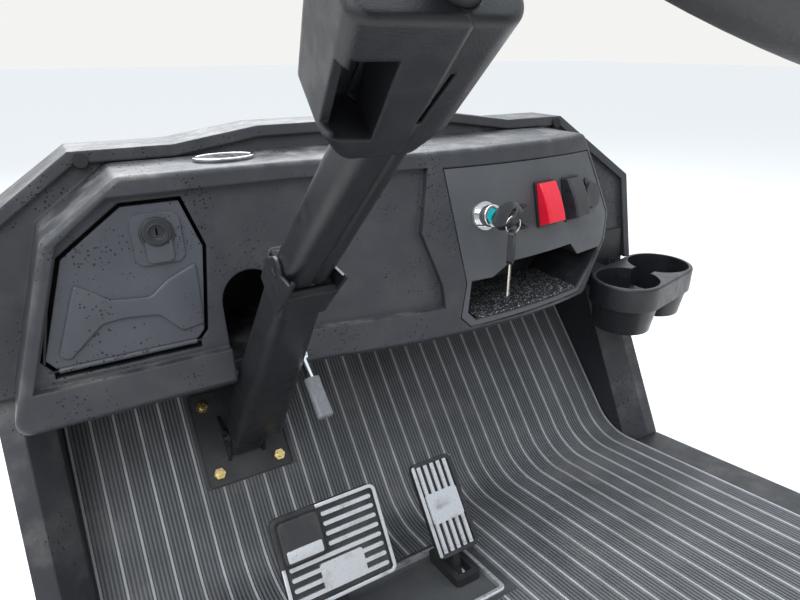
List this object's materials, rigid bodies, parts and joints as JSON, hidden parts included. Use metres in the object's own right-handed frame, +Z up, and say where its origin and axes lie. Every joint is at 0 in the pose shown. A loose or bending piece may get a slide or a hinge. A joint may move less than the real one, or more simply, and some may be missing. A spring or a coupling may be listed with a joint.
{
  "type": "golf cart front cockpit section",
  "caption": "Golf cart cockpit front: dash with glove box, switches and cubby, tilting column with wheel, pedals, cup holder, ribbed floor mat and chassis rails.",
  "frame": {"origin": "centre of the four bolt holes in the underside of the chassis rails", "axes": "+Z up, +Y to the front of the cart, +X to the passenger's side"},
  "size_m": [1.248, 0.9529, 1.1112],
  "materials": {
    "charcoal_plastic": "grained charcoal moulding",
    "column_plastic": "finely grained dark grey moulding",
    "switch_panel_plastic": "smooth charcoal moulding",
    "black_plastic": "black moulding",
    "liner_rubber": "speckled anti-slip liner",
    "mat_rubber": "ribbed dark grey rubber with dried mud",
    "boot_rubber": "black rubber",
    "pedal_rubber": "black pedal facing",
    "rib_silver": "satin silver ribs, worn",
    "trim_silver": "satin silver bead",
    "frame_steel": "black powder coat",
    "pan_steel": "dark grey coat",
    "zinc_yellow": "yellow zinc",
    "steel": "machined steel",
    "chrome": "polished",
    "teal_lens": "teal lens",
    "red_plastic": "bright red rocker",
    "grey_plastic": "dark grey rocker",
    "wheel_rubber": "black grip"
  },
  "bodies": {
    "frame": {"bracket_bolts": "zinc_yellow", "bulkhead": "charcoal_plastic", "chassis_rails": "frame_steel", "column_bracket": "frame_steel", "column_collar": "column_plastic", "column_jacket": "frame_steel", "column_shroud": "column_plastic", "cross_member_front": "frame_steel", "cross_member_rear": "frame_steel", "cubby_bin": "charcoal_plastic", "cubby_liner": "liner_rubber", "cup_holder": "charcoal_plastic", "dash_panel": "charcoal_plastic", "floor_mat": "mat_rubber", "floor_pan": "pan_steel", "front_hoop": "frame_steel", "glove_bin": "black_plastic", "glove_door_pin": "steel", "key_blades": "steel", "key_heads": "black_plastic", "key_switch": "grey_plastic", "lamp_bezel": "chrome", "lamp_lens": "teal_lens", "pedal_boots": "boot_rubber", "pedal_bracket": "frame_steel", "pedal_trim": "trim_silver", "power_socket": "black_plastic", "rim_plugs": "black_plastic", "rocker_bezels": "black_plastic", "rocker_grey": "grey_plastic", "rocker_red": "red_plastic", "shelf_badge": "grey_plastic", "side_cowl_left": "charcoal_plastic", "side_cowl_right": "charcoal_plastic", "sill_left": "black_plastic", "sill_right": "black_plastic", "switch_panel": "switch_panel_plastic", "tilt_grip": "black_plastic", "tilt_lever": "chrome"},
    "column": {"column_sleeve": "column_plastic", "column_tube": "frame_steel", "housing_upper": "column_plastic", "housing_lower": "column_plastic"},
    "wheel": {"steering_shaft": "steel", "steering_wheel": "wheel_rubber", "wheel_cap": "black_plastic"},
    "shaft": {"lower_shaft": "steel"},
    "glove_lid": {"glove_door": "charcoal_plastic", "glove_lock": "black_plastic"},
    "brake": {"brake_arm": "frame_steel", "brake_pad": "pedal_rubber", "brake_ribs": "rib_silver", "park_pad": "pedal_rubber"},
    "go": {"go_arm": "frame_steel", "go_pad": "pedal_rubber", "go_ribs": "rib_silver"}
  },
  "joints": [
    {"name": "column_tilt", "type": "hinge", "parent": "frame", "child": "column", "pos_m": [-0.248, -0.07099, 0.65378], "axis": [1, 0, 0], "range_deg": [-8, 0]},
    {"name": "steering", "type": "hinge", "parent": "column", "child": "wheel", "pos_m": [-0.248, -0.41731, 0.97447], "axis": [0, -0.7337, 0.6794], "range_deg": [-540, 540]},
    {"name": "lower_shaft_turn", "type": "hinge", "parent": "frame", "child": "shaft", "pos_m": [-0.248, 0.08862, 0.45877], "axis": [0, -0.6334, 0.7738], "range_deg": [-540, 540]},
    {"name": "glove_door", "type": "hinge", "parent": "frame", "child": "glove_lid", "pos_m": [-0.3975, 0.13622, 0.5026], "axis": [1, 0, 0], "range_deg": [0, 65]},
    {"name": "brake_pedal", "type": "hinge", "parent": "frame", "child": "brake", "pos_m": [-0.211, -0.05, 0.07], "axis": [1, 0, 0], "range_deg": [-14, 0], "stiffness_Nm_per_rad": 40, "springref_deg": 3.44},
    {"name": "go_pedal", "type": "hinge", "parent": "frame", "child": "go", "pos_m": [-0.021, -0.05, 0.07], "axis": [1, 0, 0], "range_deg": [-14, 0], "stiffness_Nm_per_rad": 12, "springref_deg": 3.44}
  ],
  "couplings": [
    {"joint": "lower_shaft_turn", "follows": "steering", "ratio": 1}
  ]
}
